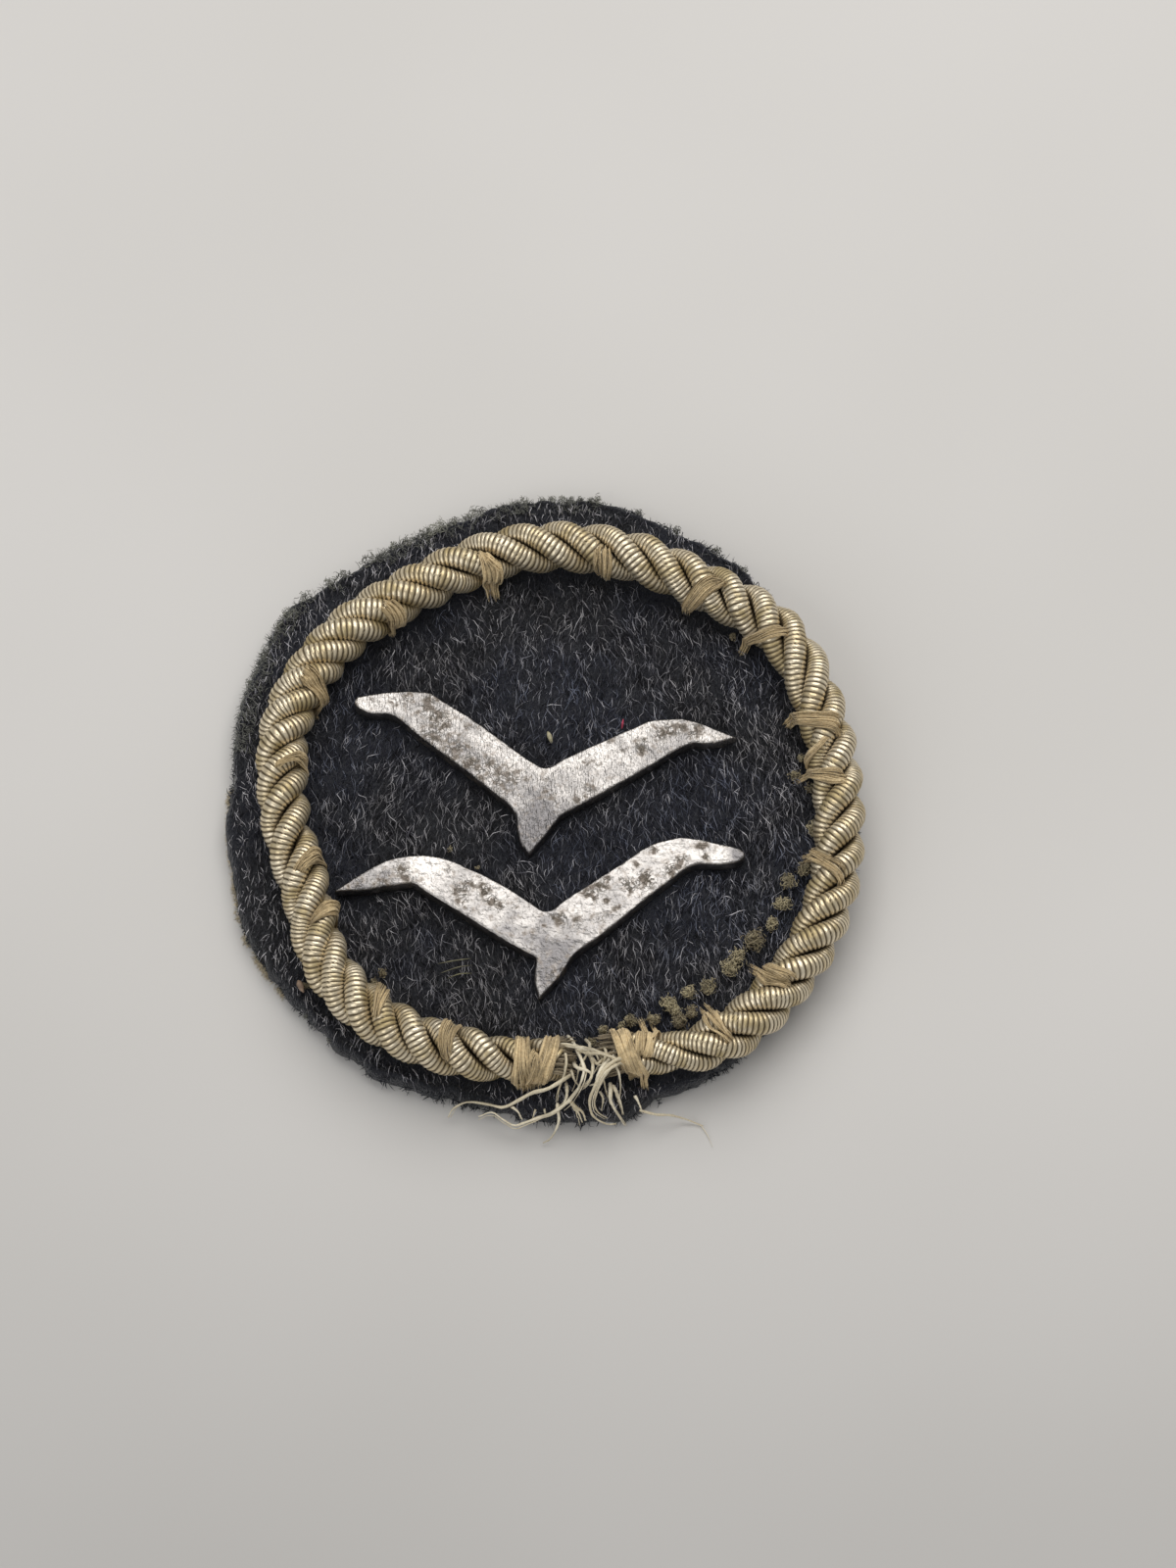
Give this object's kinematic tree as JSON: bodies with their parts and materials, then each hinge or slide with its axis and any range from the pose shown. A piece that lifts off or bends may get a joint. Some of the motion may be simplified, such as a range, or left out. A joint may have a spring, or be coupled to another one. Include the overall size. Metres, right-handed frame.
{
  "type": "round cloth insignia patch with a twisted wire cord ring and two metal gulls",
  "caption": "Round felt patch with a twisted three-strand wire cord sewn round it as an open ring and two flat metal gulls set one above the other inside the ring.",
  "frame": {"origin": "centre of the patch's bounding box, on the plane that its back lies on", "axes": "+Z out of the face of the patch, +X to the wearer's left as seen from the front, to the right of the design, +Y towards the top of the design"},
  "size_m": [0.0444, 0.0472, 0.0055],
  "materials": {
    "wool_felt": "dark blue-grey wool felt with a raised, tangled nap",
    "gull_metal_upper": "dull silvery metal with dark pits, scratches and worn edges",
    "gull_metal_lower": "dull silvery metal with dark pits, scratches and worn edges",
    "wire_cord_1": "tarnished wire thread wound in fine ribs over a core",
    "wire_cord_2": "tarnished wire thread wound in fine ribs over a core",
    "wire_cord_3": "tarnished wire thread wound in fine ribs over a core",
    "sewing_thread": "soft, flattened tan sewing thread with frayed ends"
  },
  "bodies": {
    "root": {"felt": "wool_felt", "gull_upper": "gull_metal_upper", "gull_lower": "gull_metal_lower", "strand_1": "wire_cord_1", "strand_2": "wire_cord_2", "strand_3": "wire_cord_3", "whipping_left": "sewing_thread", "whipping_right": "sewing_thread"}
  },
  "joints": []
}
